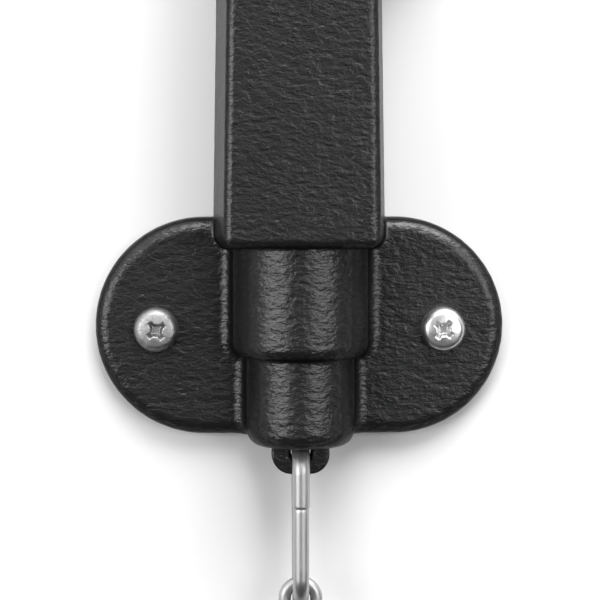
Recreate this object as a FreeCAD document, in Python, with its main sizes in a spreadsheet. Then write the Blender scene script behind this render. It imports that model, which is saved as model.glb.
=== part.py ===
import FreeCAD, Part
import math
import os
import re

import Sketcher
from FreeCAD import Placement, Rotation, Vector

# A spring latch for a stair gate, worked by a pull chain. Millimetres.
# The wall is the plane y = 0 and the latch stands towards -Y, with +Z up.
# The origin is on the wall, midway between the two screws of the flange plate.
# Pulling the chain draws the rod down against its spring. A plate on the rod's
# top has a slot at 45 degrees, which draws the bolt in by as much as the rod drops.

SIZES = {
    # allowances used all over
    "past": 1.0,               # how far a cut runs past what it cuts
    "overlap": 3.0,            # how far one raised shape runs into the next
    "pin_short": 0.3,          # how far each end of a pin stays inside its piece
    # flange plate and ear
    "plate_reach": 20.4,       # from the middle to the centre of each round end
    "plate_radius": 23.2,
    "plate_centre": 0.6,       # height of the plate's middle over its screws
    "plate_thick": 5.0,
    "plate_rim": 3.0,          # rounding of the plate's front edge
    "ear_centre": 132.0,
    "ear_radius": 9.5,
    "ear_root": 15.0,          # how far the ear's sides reach below the column's top
    # column
    "column_half": 18.4,       # half width against the wall, at the bottom
    "column_half_top": 16.8,
    "column_bottom": 17.1,
    "column_top": 125.0,
    "column_depth": 29.0,
    "column_draft": 4.0,       # degrees
    "column_corner": 3.0,
    "column_edge": 2.2,
    "column_wall": 2.6,        # thickness of the column's front
    "cavity_half": 14.0,
    "cavity_floor": 22.8,
    "cavity_roof": 120.0,
    # barrels, both about the rod's axis
    "rod_line": 12.0,          # distance of the rod's axis from the wall
    "upper_radius": 14.25,
    "upper_bottom": -5.1,
    "lower_radius": 11.4,
    "lower_bottom": -24.1,
    "upper_edge": 2.7,         # rounding of each barrel's lower end
    "lower_edge": 3.4,
    "bore_radius": 10.0,
    "bore_floor": -1.8,
    "mouth_radius": 7.2,
    # screws
    "screw_reach": 30.65,
    "screw_hole": 2.6,
    "screw_head_radius": 4.75,
    "screw_head_tall": 3.3,
    "screw_head_round": 2.3,
    "screw_neck": 2.35,
    "screw_core": 1.8,          # radius inside the thread
    "screw_length": 30.0,
    "screw_tip": 5.0,
    "recess_arm": 2.5,
    "recess_wide": 1.15,
    "recess_deep": 1.9,
    # pull rod and its guides
    "rod_radius": 4.0,
    "rod_bottom": -20.3,
    "rod_top": 84.0,
    "travel": 12.0,
    "running_gap": 0.06,
    "bush_bottom": -11.8,
    "bush_flange_radius": 9.8,
    "bush_flange_thick": 1.5,
    "bumper_thick": 1.4,
    "bumper_squeeze": 0.1,     # the stop and the washer are smaller than their seats
    "bumper_clear": 0.5,       # and their holes larger than the rod
    "washer_loose": 0.3,
    "washer_clear": 0.4,
    "guide_bottom": 56.0,
    "guide_tall": 9.0,
    # return spring
    "washer_thick": 1.0,
    "spring_radius": 7.5,
    "spring_wire": 0.8,
    "spring_turns": 6.0,
    "collar_bottom": 28.2,
    "collar_thick": 2.6,
    "collar_radius": 8.8,
    "spigot_radius": 6.3,
    "spigot_tall": 2.0,
    "clip_thick": 0.8,
    "clip_groove": 3.2,
    "clip_radius": 6.0,
    "clip_mouth": 2.56,        # half the width of the clip's opening
    # pull eye
    "eye_top": -13.3,
    "eye_boss_bottom": -21.3,
    "eye_boss_radius": 6.6,
    "eye_half": 6.15,
    "eye_thick": 4.0,
    "eye_bottom": -30.1,
    "eye_corner": 4.2,
    "eye_hole": 2.1,
    "eye_hole_round": 1.5,
    "eye_pin_level": -16.8,
    "small_pin": 1.25,
    # chain
    "first_wire": 1.9,         # radius of the wire of the link in the eye
    "first_crown": 4.65,
    "first_span": 31.75,       # between the wire's centres at the two crowns
    "wire_radius": 1.35,
    "crown_radius": 3.35,
    "link_span": 28.5,
    "chain_gap": 0.15,
    "chain_top": -25.2,
    "link_count": 5,
    "ring_radius": 16.0,
    "ring_wire": 1.6,
    # cam plate
    "bolt_level": 92.0,
    "pin_line": 4.0,           # x of the bolt's cross pin when the bolt is out
    "cam_thick": 3.0,
    "cam_radius": 3.8,
    "cam_foot": 72.0,
    "cam_stem_half": 3.6,      # narrow enough to stay inside the round of the rod
    "cam_pin_level": 78.0,
    "cross_pin": 1.75,
    "slot_gap": 0.1,
    # bolt
    "bolt_back": 0.5,
    "bolt_nose": 29.5,
    "bolt_half_deep": 6.5,
    "bolt_half_tall": 6.0,
    "bolt_bevel": 9.0,
    "bolt_tip": 3.0,
    "fork_end": 16.0,
    "fork_gap": 3.4,
    "bolt_gap": 0.15,
    # bolt guide and face plate
    "block_left": 9.0,
    "block_half_tall": 16.5,
    "block_front": 22.0,
    "face_seat": 15.4,
    "face_thick": 1.5,
    "face_half_deep": 9.0,
    "face_half_tall": 16.0,
    "face_screw_reach": 12.0,
    "mouth_gap": 0.4,
    # back cover
    "cover_gap": 0.15,
    "cover_front": 2.6,        # depth of the cover's inner face from the wall
    "cover_back": 0.6,
    "lug_radius": 3.0,
    "lug_reach": 10.7,
    "lug_low": 46.0,
    "lug_high": 115.0,
    "lug_foot": 0.5,           # how far each lug runs into the column's front
    "pilot_radius": 1.3,
    "small_head": 2.7,
    "small_head_deep": 1.45,
    "small_shank": 1.25,
    "small_gap": 0.05,         # between a small screw and its hole
    "small_length": 11.0,
    "face_screw_length": 7.0,
    "driver_half": 0.4,
    "driver_deep": 0.9,
}

LUG_PLACES = [("-lug_reach", "lug_low"), ("lug_reach", "lug_low"),
              ("-lug_reach", "lug_high"), ("lug_reach", "lug_high")]

UPRIGHT = Rotation()
TO_RIGHT = Rotation(Vector(0, 1, 0), 90)    # turns +Z to +X
TO_LEFT = Rotation(Vector(0, 1, 0), -90)    # turns +Z to -X
TO_FRONT = Rotation(Vector(1, 0, 0), 90)    # turns +Z to -Y
QUARTER_TURN = Rotation(Vector(0, 0, 1), 90)

CLOSE = 0.01    # edges this near a place count as being there
LOOSE = 0.1     # the same for the box of a slanted edge
WORD = re.compile(r"[a-z][a-z_]+")

doc = FreeCAD.newDocument("StairGateLatch")
sheet = doc.addObject("Spreadsheet::Sheet", "Sizes")
sub_parts = []


def fill_sheet():
    for row, (name, value) in enumerate(SIZES.items(), start=1):
        sheet.set("A%d" % row, name)
        sheet.set("B%d" % row, str(value))
        sheet.setAlias("B%d" % row, name)
    doc.recompute()


def linked(expression):
    """The expression with each size's name turned into its cell in the sheet."""
    def cell(word):
        name = word.group()
        return "Sizes." + name if name in SIZES else name
    return WORD.sub(cell, expression)


def size(expression):
    """The value that an expression has now."""
    return float(sheet.evalExpression(linked(expression)))


def bind(thing, prop, expression):
    thing.setExpression(prop, linked(expression))


# ---- sketches ----

def new_body(label, base=(0, 0, 0), turn=UPRIGHT):
    body = doc.addObject("PartDesign::Body", label)
    body.Label = label
    body.Placement = Placement(Vector(*base), turn)
    sub_parts.append(body)
    return body


def new_sketch(body, plane, offset="0"):
    """A sketch on one of the body's planes, moved by offset along its normal.

    The normals are +Z for XY, -Y for XZ and +X for YZ.
    """
    sketch = body.newObject("Sketcher::SketchObject", "Sketch")
    role = plane + "_Plane"
    support = [item for item in body.Origin.OriginFeatures if item.Role == role][0]
    sketch.AttachmentSupport = [(support, "")]
    sketch.MapMode = "FlatFace"
    bind(sketch, "AttachmentOffset.Base.z", offset)
    return sketch


def constrain(sketch, expression, kind, *where):
    index = sketch.addConstraint(Sketcher.Constraint(kind, *where, size(expression)))
    sketch.setExpression("Constraints[%d]" % index, linked(expression))


def pin_point(sketch, geometry, point, across, up):
    """Holds a point of the sketch at the place given by two expressions."""
    for expression, kind, axis in ((across, "DistanceX", -2), (up, "DistanceY", -1)):
        if expression == "0":
            sketch.addConstraint(Sketcher.Constraint("PointOnObject", geometry, point, axis))
        else:
            constrain(sketch, expression, kind, -1, 1, geometry, point)


def join_ends(sketch, lines):
    for line, following in zip(lines, lines[1:] + lines[:1]):
        sketch.addConstraint(Sketcher.Constraint("Coincident", line, 2, following, 1))


def draw_circle(sketch, across, up, radius):
    middle = Vector(size(across), size(up), 0)
    ring = sketch.addGeometry(Part.Circle(middle, Vector(0, 0, 1), size(radius)))
    pin_point(sketch, ring, 3, across, up)
    constrain(sketch, radius, "Radius", ring)


def draw_polygon(sketch, corners):
    """Straight lines round corners, each a pair of expressions."""
    points = [Vector(size(across), size(up), 0) for across, up in corners]
    lines = []
    for start, end in zip(points, points[1:] + points[:1]):
        lines.append(sketch.addGeometry(Part.LineSegment(start, end)))
    join_ends(sketch, lines)
    for line, (across, up) in zip(lines, corners):
        pin_point(sketch, line, 1, across, up)


def draw_rectangle(sketch, left, right, bottom, top):
    draw_polygon(sketch, [(left, bottom), (right, bottom), (right, top), (left, top)])


def draw_bolt_hole(sketch, gap):
    """The bolt's section with a gap all round it, on a plane across the bolt."""
    draw_rectangle(sketch, "-rod_line - bolt_half_deep - " + gap, "-rod_line + bolt_half_deep + " + gap,
                   "bolt_level - bolt_half_tall - " + gap, "bolt_level + bolt_half_tall + " + gap)


def draw_capsule(sketch, first, second, radius):
    """A straight slot shape round two centres, each a pair of expressions."""
    start = Vector(size(first[0]), size(first[1]), 0)
    end = Vector(size(second[0]), size(second[1]), 0)
    lean = math.atan2(end.y - start.y, end.x - start.x)
    side = Vector(-math.sin(lean), math.cos(lean), 0) * size(radius)
    quarter = math.pi / 2
    around = Part.Circle(start, Vector(0, 0, 1), size(radius))
    beyond = Part.Circle(end, Vector(0, 0, 1), size(radius))
    near = sketch.addGeometry(Part.ArcOfCircle(around, lean + quarter, lean + 3 * quarter))
    low = sketch.addGeometry(Part.LineSegment(start - side, end - side))
    far = sketch.addGeometry(Part.ArcOfCircle(beyond, lean - quarter, lean + quarter))
    high = sketch.addGeometry(Part.LineSegment(end + side, start + side))
    for piece, following in ((near, low), (low, far), (far, high), (high, near)):
        sketch.addConstraint(Sketcher.Constraint("Tangent", piece, 2, following, 1))
    pin_point(sketch, near, 3, *first)
    pin_point(sketch, far, 3, *second)
    constrain(sketch, radius, "Radius", near)


def draw_barrel(sketch, radius):
    """A half round towards the front on the rod's axis, with straight sides to the wall."""
    reach = size(radius)
    line = size("rod_line")
    circle = Part.Circle(Vector(0, -line, 0), Vector(0, 0, 1), reach)
    front = sketch.addGeometry(Part.ArcOfCircle(circle, math.pi, 2 * math.pi))
    right = sketch.addGeometry(Part.LineSegment(Vector(reach, -line, 0), Vector(reach, 0, 0)))
    back = sketch.addGeometry(Part.LineSegment(Vector(reach, 0, 0), Vector(-reach, 0, 0)))
    left = sketch.addGeometry(Part.LineSegment(Vector(-reach, 0, 0), Vector(-reach, -line, 0)))
    sketch.addConstraint(Sketcher.Constraint("Tangent", front, 2, right, 1))
    sketch.addConstraint(Sketcher.Constraint("Tangent", left, 2, front, 1))
    sketch.addConstraint(Sketcher.Constraint("Coincident", right, 2, back, 1))
    sketch.addConstraint(Sketcher.Constraint("Coincident", back, 2, left, 1))
    sketch.addConstraint(Sketcher.Constraint("Vertical", right))
    sketch.addConstraint(Sketcher.Constraint("PointOnObject", right, 2, -1))
    sketch.addConstraint(Sketcher.Constraint("PointOnObject", left, 1, -1))
    pin_point(sketch, front, 3, "0", "-rod_line")
    constrain(sketch, radius, "Radius", front)


# ---- features ----

def pad(body, sketch, length, taper="0"):
    feature = body.newObject("PartDesign::Pad", "Pad")
    feature.Profile = sketch
    bind(feature, "Length", length)
    bind(feature, "TaperAngle", taper)
    doc.recompute()
    return feature


def pad_both_ways(body, sketch, length):
    feature = pad(body, sketch, length)
    feature.Midplane = True
    doc.recompute()
    return feature


def pocket(body, sketch, depth, forward=True):
    """A cut from the sketch along its normal, or against it when forward is False."""
    before = body.Shape.Volume
    feature = body.newObject("PartDesign::Pocket", "Pocket")
    feature.Profile = sketch
    feature.Reversed = forward
    bind(feature, "Length", depth)
    doc.recompute()
    if body.Shape.Volume >= before:
        raise RuntimeError("a pocket of %s cuts nothing" % body.Label)
    return feature


def round_edges(body, radius, chosen):
    """Rounds the edges of the body that the function chosen picks."""
    base = body.Tip
    names = ["Edge%d" % (n + 1) for n, edge in enumerate(base.Shape.Edges) if chosen(edge)]
    if not names:
        raise RuntimeError("no edge of %s to round" % body.Label)
    feature = body.newObject("PartDesign::Fillet", "Fillet")
    feature.Base = (base, names)
    bind(feature, "Radius", radius)
    doc.recompute()
    return feature


def chamfer_edges(body, width, chosen):
    base = body.Tip
    names = ["Edge%d" % (n + 1) for n, edge in enumerate(base.Shape.Edges) if chosen(edge)]
    feature = body.newObject("PartDesign::Chamfer", "Chamfer")
    feature.Base = (base, names)
    bind(feature, "Size", width)
    doc.recompute()
    return feature


def within(edge, low=None, high=None):
    """Whether an edge's box lies between two corners, where None is free."""
    box = edge.optimalBoundingBox()
    least = (box.XMin, box.YMin, box.ZMin)
    most = (box.XMax, box.YMax, box.ZMax)
    for axis in range(3):
        if low and low[axis] is not None and least[axis] < low[axis] - CLOSE:
            return False
        if high and high[axis] is not None and most[axis] > high[axis] + CLOSE:
            return False
    return True


def place_by(thing, across="0", deep="0", level="0"):
    bind(thing, "Placement.Base.x", across)
    bind(thing, "Placement.Base.y", deep)
    bind(thing, "Placement.Base.z", level)


def cylinder(name, radius, length, across="0", deep="-rod_line", level="0", turn=UPRIGHT):
    thing = doc.addObject("Part::Cylinder", name)
    thing.Placement = Placement(Vector(), turn)
    bind(thing, "Radius", radius)
    bind(thing, "Height", length)
    place_by(thing, across, deep, level)
    return thing


def cone(name, radius, tip, length, across="0", deep="-rod_line", level="0", turn=UPRIGHT):
    thing = doc.addObject("Part::Cone", name)
    thing.Placement = Placement(Vector(), turn)
    bind(thing, "Radius1", radius)
    bind(thing, "Radius2", tip)
    bind(thing, "Height", length)
    place_by(thing, across, deep, level)
    return thing


def box(name, left, right, front, back, bottom, top):
    thing = doc.addObject("Part::Box", name)
    bind(thing, "Length", "(%s) - (%s)" % (right, left))
    bind(thing, "Width", "(%s) - (%s)" % (back, front))
    bind(thing, "Height", "(%s) - (%s)" % (top, bottom))
    place_by(thing, left, front, bottom)
    return thing


def cut(name, base, tool):
    thing = doc.addObject("Part::Cut", name)
    thing.Base = base
    thing.Tool = tool
    return thing


def fuse(name, pieces):
    thing = doc.addObject("Part::MultiFuse", name)
    thing.Shapes = pieces
    return thing


def finished(thing, label):
    """Marks a boolean or primitive as a sub-part of its own."""
    thing.Label = label
    sub_parts.append(thing)
    return thing


# ---- housing ----

def latch_housing():
    body = new_body("latch_housing")

    flange = new_sketch(body, "XZ")
    draw_capsule(flange, ("-plate_reach", "plate_centre"), ("plate_reach", "plate_centre"), "plate_radius")
    pad(body, flange, "plate_thick")
    front = -size("plate_thick")
    round_edges(body, "plate_rim", lambda edge: within(edge, high=(None, front, None)))

    for radius, bottom, rounding in (("upper_radius", "upper_bottom", "upper_edge"),
                                     ("lower_radius", "lower_bottom", "lower_edge")):
        barrel = new_sketch(body, "XY", bottom)
        draw_barrel(barrel, radius)
        pad(body, barrel, "column_bottom + overlap - (%s)" % bottom)
        level = size(bottom)
        round_edges(body, rounding, lambda edge: within(edge, (None, None, level), (None, front, level)))

    column = new_sketch(body, "XZ")
    draw_polygon(column, [("-column_half", "column_bottom"), ("column_half", "column_bottom"),
                          ("column_half_top", "column_top"), ("-column_half_top", "column_top")])
    pad(body, column, "column_depth", "-column_draft")
    depth = -size("column_depth")

    def from_wall_to_front(edge):
        return abs(edge.optimalBoundingBox().YLength - size("column_depth")) < LOOSE
    round_edges(body, "column_corner", from_wall_to_front)
    round_edges(body, "column_edge", lambda edge: within(edge, high=(None, depth, None)))

    ear = new_sketch(body, "XZ")
    draw_capsule(ear, ("0", "column_top - ear_root"), ("0", "ear_centre"), "ear_radius")
    pad(body, ear, "plate_thick")
    hollow_housing(body)


def hollow_housing(body):
    """Cuts the column's cavity, the bores of the barrels and the holes."""
    back = new_sketch(body, "XZ")
    draw_rectangle(back, "-cavity_half", "cavity_half", "cavity_floor", "cavity_roof")
    pocket(body, back, "column_depth - column_wall")

    bore = new_sketch(body, "XY", "bore_floor")
    draw_circle(bore, "0", "-rod_line", "bore_radius")
    pocket(body, bore, "cavity_floor - bore_floor + past")

    mouth = new_sketch(body, "XY", "lower_bottom")
    draw_circle(mouth, "0", "-rod_line", "mouth_radius")
    pocket(body, mouth, "bore_floor - lower_bottom + past")

    holes = new_sketch(body, "XZ")
    draw_circle(holes, "-screw_reach", "0", "screw_hole")
    draw_circle(holes, "screw_reach", "0", "screw_hole")
    draw_circle(holes, "0", "ear_centre", "screw_hole")
    pocket(body, holes, "plate_thick + past")

    lugs = new_sketch(body, "XZ", "cover_front")
    pilots = new_sketch(body, "XZ", "cover_front")
    for across, level in LUG_PLACES:
        draw_circle(lugs, across, level, "lug_radius")
        draw_circle(pilots, across, level, "pilot_radius")
    pad(body, lugs, "column_depth - column_wall - cover_front + lug_foot")
    pocket(body, pilots, "small_length + past")

    window = new_sketch(body, "YZ", "block_left")
    draw_bolt_hole(window, "mouth_gap")
    draw_circle(window, "-rod_line", "bolt_level - face_screw_reach", "pilot_radius")
    draw_circle(window, "-rod_line", "bolt_level + face_screw_reach", "pilot_radius")
    pocket(body, window, "column_half - block_left + past")

    seat = new_sketch(body, "YZ", "face_seat")
    draw_rectangle(seat, "-rod_line - face_half_deep", "-rod_line + face_half_deep",
                   "bolt_level - face_half_tall", "bolt_level + face_half_tall")
    pocket(body, seat, "column_half - face_seat + past")


# ---- screws ----

def small_screw(name, across, deep, level, turn, length):
    """A countersunk slotted screw, made pointing up from its head, then turned and placed."""
    head = cone(name + "Head", "small_head", "small_shank", "small_head_deep", deep="0")
    shank = cylinder(name + "Shank", "small_shank", length, deep="0")
    slot = box(name + "Slot", "-small_head", "small_head", "-driver_half", "driver_half",
               "-past", "driver_deep")
    screw = cut(name, fuse(name + "Whole", [head, shank]), slot)
    screw.Placement = Placement(Vector(), turn)
    place_by(screw, across, deep, level)
    return screw


def screw_group(label, screws):
    group = doc.addObject("Part::Compound", label)
    group.Links = screws
    finished(group, label)


def cover_screws():
    screws = []
    for number, (across, level) in enumerate(LUG_PLACES, start=1):
        screws.append(small_screw("CoverScrew%d" % number, across, "-cover_back", level, TO_FRONT,
                                  "small_length"))
    screw_group("cover_screws", screws)


def face_plate_screws():
    screws = []
    for name, level in (("LowScrew", "bolt_level - face_screw_reach"),
                        ("HighScrew", "bolt_level + face_screw_reach")):
        screws.append(small_screw(name, "face_seat + face_thick", "-rod_line", level, TO_LEFT,
                                  "face_screw_length"))
    screw_group("face_plate_screws", screws)


def mounting_screw(label, across, level):
    """A pan-head cross-recess screw, made head up and turned to face the front."""
    base = (size(across), -size("plate_thick"), size(level))
    body = new_body(label, base, TO_FRONT)
    profile = new_sketch(body, "XZ")
    draw_polygon(profile, [
        ("0", "screw_head_tall"), ("0", "-screw_length"),
        ("screw_core", "screw_tip - screw_length"), ("screw_core", "-plate_thick"),
        ("screw_neck", "-plate_thick"), ("screw_neck", "0"),
        ("screw_head_radius", "0"), ("screw_head_radius", "screw_head_tall")])
    turned = body.newObject("PartDesign::Revolution", "Revolution")
    turned.Profile = profile
    turned.ReferenceAxis = (profile, ["V_Axis"])
    turned.Angle = 360
    doc.recompute()
    crown = size("screw_head_tall")
    round_edges(body, "screw_head_round",
                lambda edge: within(edge, (None, None, crown), (None, None, crown)))
    for long_way, short_way in (("recess_arm", "recess_wide / 2"), ("recess_wide / 2", "recess_arm")):
        slot = new_sketch(body, "XY", "screw_head_tall")
        draw_rectangle(slot, "-(%s)" % long_way, long_way, "-(%s)" % short_way, short_way)
        pocket(body, slot, "recess_deep", forward=False)


# ---- fixed pieces inside the housing ----

def back_cover():
    body = new_body("back_cover")
    plate = new_sketch(body, "XZ", "cover_back")
    draw_rectangle(plate, "-cavity_half + cover_gap", "cavity_half - cover_gap",
                   "cavity_floor + cover_gap", "cavity_roof - cover_gap")
    for across, level in LUG_PLACES:
        draw_circle(plate, across, level, "small_shank + small_gap")
    pad(body, plate, "cover_front - cover_back")
    deep = -size("cover_back")
    chamfer_edges(body, "small_head - small_shank", lambda edge: (
        isinstance(edge.Curve, Part.Circle) and within(edge, (None, deep, None))))


def bolt_face_plate():
    body = new_body("bolt_face_plate")
    plate = new_sketch(body, "YZ", "face_seat")
    draw_rectangle(plate, "-rod_line - face_half_deep", "-rod_line + face_half_deep",
                   "bolt_level - face_half_tall", "bolt_level + face_half_tall")
    draw_bolt_hole(plate, "mouth_gap")
    for way in ("-", "+"):
        draw_circle(plate, "-rod_line", "bolt_level %s face_screw_reach" % way, "small_shank + small_gap")
    pad(body, plate, "face_thick")
    outer = size("face_seat + face_thick")
    chamfer_edges(body, "small_head - small_shank", lambda edge: (
        isinstance(edge.Curve, Part.Circle) and within(edge, (outer, None, None))))


def bolt_guide():
    """The nylon block behind the face plate, which carries the bolt and takes its screws."""
    body = new_body("bolt_guide")
    block = new_sketch(body, "YZ", "block_left")
    draw_rectangle(block, "-block_front", "-cover_front",
                   "bolt_level - block_half_tall", "bolt_level + block_half_tall")
    draw_bolt_hole(block, "bolt_gap")
    for way in ("-", "+"):
        draw_circle(block, "-rod_line", "bolt_level %s face_screw_reach" % way, "small_shank + small_gap")
    pad(body, block, "cavity_half - block_left")


def rod_guide_bush():
    sleeve = cylinder("BushSleeve", "mouth_radius", "bore_floor - bush_bottom", level="bush_bottom")
    flange = cylinder("BushFlange", "bush_flange_radius", "bush_flange_thick", level="bore_floor")
    hole = cylinder("BushHole", "rod_radius + running_gap", "bore_floor - bush_bottom + bush_flange_thick",
                    level="bush_bottom")
    finished(cut("Bush", fuse("BushBlank", [sleeve, flange]), hole), "rod_guide_bush")


def end_stop_bumper():
    level = "bush_bottom - bumper_thick"
    ring = cylinder("BumperBlank", "mouth_radius - bumper_squeeze", "bumper_thick", level=level)
    hole = cylinder("BumperHole", "rod_radius + bumper_clear", "bumper_thick", level=level)
    finished(cut("Bumper", ring, hole), "end_stop_bumper")


def spring_seat_washer():
    level = "bore_floor + bush_flange_thick"
    ring = cylinder("WasherBlank", "bush_flange_radius - washer_loose", "washer_thick", level=level)
    hole = cylinder("WasherHole", "rod_radius + washer_clear", "washer_thick", level=level)
    finished(cut("Washer", ring, hole), "spring_seat_washer")


def upper_rod_guide():
    """The block across the column that keeps the rod upright, held in by the back cover."""
    block = box("GuideBlock", "-cavity_half", "cavity_half", "column_wall - column_depth", "-cover_front",
                "guide_bottom", "guide_bottom + guide_tall")
    hole = cylinder("GuideHole", "rod_radius + running_gap", "guide_tall", level="guide_bottom")
    finished(cut("UpperGuide", block, hole), "upper_rod_guide")


# ---- pull rod and what moves with it ----

def pull_rod():
    shaft = cylinder("RodShaft", "rod_radius", "rod_top - rod_bottom", level="rod_bottom")
    slot = box("RodSlot", "-rod_radius", "rod_radius",
               "-rod_line - cam_thick / 2", "-rod_line + cam_thick / 2", "cam_foot", "rod_top")
    blank = cylinder("GrooveBlank", "rod_radius + past", "clip_thick", level="collar_bottom + collar_thick")
    core = cylinder("GrooveCore", "clip_groove", "clip_thick", level="collar_bottom + collar_thick")
    groove = cut("Groove", blank, core)
    cam_hole = cylinder("CamPinHole", "small_pin", "(rod_radius + past) * 2",
                        deep="rod_radius + past - rod_line", level="cam_pin_level", turn=TO_FRONT)
    eye_hole = cylinder("EyePinHole", "small_pin", "(rod_radius + past) * 2",
                        across="-rod_radius - past", level="eye_pin_level", turn=TO_RIGHT)
    finished(cut("Rod", shaft, fuse("RodCuts", [slot, groove, cam_hole, eye_hole])), "pull_rod")


def cam_plate():
    body = new_body("cam_plate")
    high = ("pin_line - travel", "bolt_level + travel")
    arm = new_sketch(body, "XZ", "rod_line")
    draw_capsule(arm, ("pin_line", "bolt_level"), high, "cam_radius")
    pad_both_ways(body, arm, "cam_thick")
    stem = new_sketch(body, "XZ", "rod_line")
    draw_rectangle(stem, "-cam_stem_half", "cam_stem_half", "cam_foot", "bolt_level + past")
    pad_both_ways(body, stem, "cam_thick")
    slot = new_sketch(body, "XZ", "rod_line - cam_thick")
    draw_capsule(slot, ("pin_line", "bolt_level"), high, "cross_pin + slot_gap")
    pocket(body, slot, "cam_thick * 2")
    hole = new_sketch(body, "XZ", "rod_line - cam_thick")
    draw_circle(hole, "0", "cam_pin_level", "small_pin")
    pocket(body, hole, "cam_thick * 2")


def cam_plate_pin():
    pin = cylinder("CamPin", "small_pin", "(rod_radius - pin_short) * 2",
                   deep="rod_radius - pin_short - rod_line", level="cam_pin_level", turn=TO_FRONT)
    finished(pin, "cam_plate_pin")


def spring_collar():
    disc = cylinder("CollarDisc", "collar_radius", "collar_thick", level="collar_bottom")
    spigot = cylinder("CollarSpigot", "spigot_radius", "spigot_tall", level="collar_bottom - spigot_tall")
    hole = cylinder("CollarHole", "rod_radius", "collar_thick + spigot_tall",
                    level="collar_bottom - spigot_tall")
    finished(cut("Collar", fuse("CollarBlank", [disc, spigot]), hole), "spring_collar")


def spring_clip():
    """An open ring that snaps into the rod's groove over the collar."""
    level = "collar_bottom + collar_thick"
    disc = cylinder("ClipDisc", "clip_radius", "clip_thick", level=level)
    hole = cylinder("ClipHole", "clip_groove", "clip_thick", level=level)
    mouth = box("ClipMouth", "-clip_mouth", "clip_mouth", "-rod_line - clip_radius - past", "-rod_line",
                level, level + " + clip_thick")
    finished(cut("Clip", disc, fuse("ClipCuts", [hole, mouth])), "spring_clip")


def pull_eye():
    """A flat tongue under a round boss, with a rounded hole for the chain's first link."""
    body = new_body("pull_eye")
    boss = new_sketch(body, "XY", "eye_boss_bottom")
    draw_circle(boss, "0", "-rod_line", "eye_boss_radius")
    pad(body, boss, "eye_top - eye_boss_bottom")
    tongue = new_sketch(body, "XZ", "rod_line")
    draw_rectangle(tongue, "-eye_half", "eye_half", "eye_bottom", "eye_boss_bottom + past")
    pad_both_ways(body, tongue, "eye_thick")
    low = size("eye_bottom")

    def bottom_corner(edge):
        return within(edge, high=(None, None, low)) and abs(edge.Length - size("eye_thick")) < CLOSE
    round_edges(body, "eye_corner", bottom_corner)
    hole = new_sketch(body, "XZ", "rod_line - eye_thick")
    draw_circle(hole, "0", "chain_top", "eye_hole")
    pocket(body, hole, "eye_thick * 2")
    around = size("eye_hole")
    middle = size("chain_top")
    round_edges(body, "eye_hole_round", lambda edge: (
        isinstance(edge.Curve, Part.Circle)
        and within(edge, (-around, None, middle - around), (around, None, middle + around))))
    socket = new_sketch(body, "XY", "rod_bottom")
    draw_circle(socket, "0", "-rod_line", "rod_radius")
    pocket(body, socket, "eye_top - rod_bottom + past")
    cross = new_sketch(body, "YZ", "-eye_boss_radius - past")
    draw_circle(cross, "-rod_line", "eye_pin_level", "small_pin")
    pocket(body, cross, "(eye_boss_radius + past) * 2")


def eye_pin():
    pin = cylinder("EyePin", "small_pin", "(eye_boss_radius - pin_short) * 2",
                   across="pin_short - eye_boss_radius", level="eye_pin_level", turn=TO_RIGHT)
    finished(pin, "eye_pin")


def return_spring():
    """A round wire coil between the seat washer and the collar."""
    seat = "(bore_floor + bush_flange_thick + washer_thick + spring_wire)"
    rise = "(collar_bottom - spring_wire - %s)" % seat
    coil = doc.addObject("Part::Helix", "SpringPath")
    bind(coil, "Radius", "spring_radius")
    bind(coil, "Height", rise)
    bind(coil, "Pitch", rise + " / spring_turns")
    coil.SegmentLength = 1                  # one edge for each turn
    doc.recompute()
    section = doc.addObject("Part::Circle", "SpringSection")
    bind(section, "Radius", "spring_wire")
    section.Placement = Placement(Vector(), TO_FRONT)
    bind(section, "Placement.Base.x", "spring_radius")
    spring = doc.addObject("Part::Sweep", "Spring")
    spring.Sections = [section]
    spring.Spine = (coil, ["Edge%d" % (n + 1) for n in range(len(coil.Shape.Edges))])
    spring.Solid = True
    spring.Frenet = True
    place_by(spring, "0", "-rod_line", seat)
    finished(spring, "return_spring")


# ---- bolt ----

def latch_bolt():
    """A block with a fork at its back for the cam plate and a slanted nose."""
    body = new_body("latch_bolt")
    plan = new_sketch(body, "XY", "bolt_level - bolt_half_tall")
    draw_polygon(plan, [
        ("bolt_back", "-rod_line - bolt_half_deep"),
        ("bolt_nose - bolt_bevel", "-rod_line - bolt_half_deep"),
        ("bolt_nose", "-rod_line + bolt_half_deep - bolt_tip"),
        ("bolt_nose", "-rod_line + bolt_half_deep"),
        ("bolt_back", "-rod_line + bolt_half_deep")])
    pad(body, plan, "bolt_half_tall * 2")
    fork = new_sketch(body, "XY", "bolt_level - bolt_half_tall - past")
    draw_rectangle(fork, "bolt_back - past", "fork_end",
                   "-rod_line - fork_gap / 2", "-rod_line + fork_gap / 2")
    pocket(body, fork, "(bolt_half_tall + past) * 2")
    hole = new_sketch(body, "XZ", "rod_line - bolt_half_deep - past")
    draw_circle(hole, "pin_line", "bolt_level", "cross_pin")
    pocket(body, hole, "(bolt_half_deep + past) * 2")


def bolt_cross_pin():
    pin = cylinder("CrossPin", "cross_pin", "bolt_half_deep * 2", across="pin_line",
                   deep="bolt_half_deep - rod_line", level="bolt_level", turn=TO_FRONT)
    finished(pin, "bolt_cross_pin")


# ---- chain ----

def link_sizes(number):
    """Names of a link's wire radius, crown radius and span: the link in the eye is larger."""
    if number == 1:
        return "first_wire", "first_crown", "first_span"
    return "wire_radius", "crown_radius", "link_span"


def link_top(number):
    """Height of the wire's centre at the top of a link, counted from 1 at the eye."""
    if number == 1:
        return size("chain_top")
    wire, _, span = link_sizes(number - 1)
    return link_top(number - 1) - size("%s - %s - wire_radius - chain_gap" % (span, wire))


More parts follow.
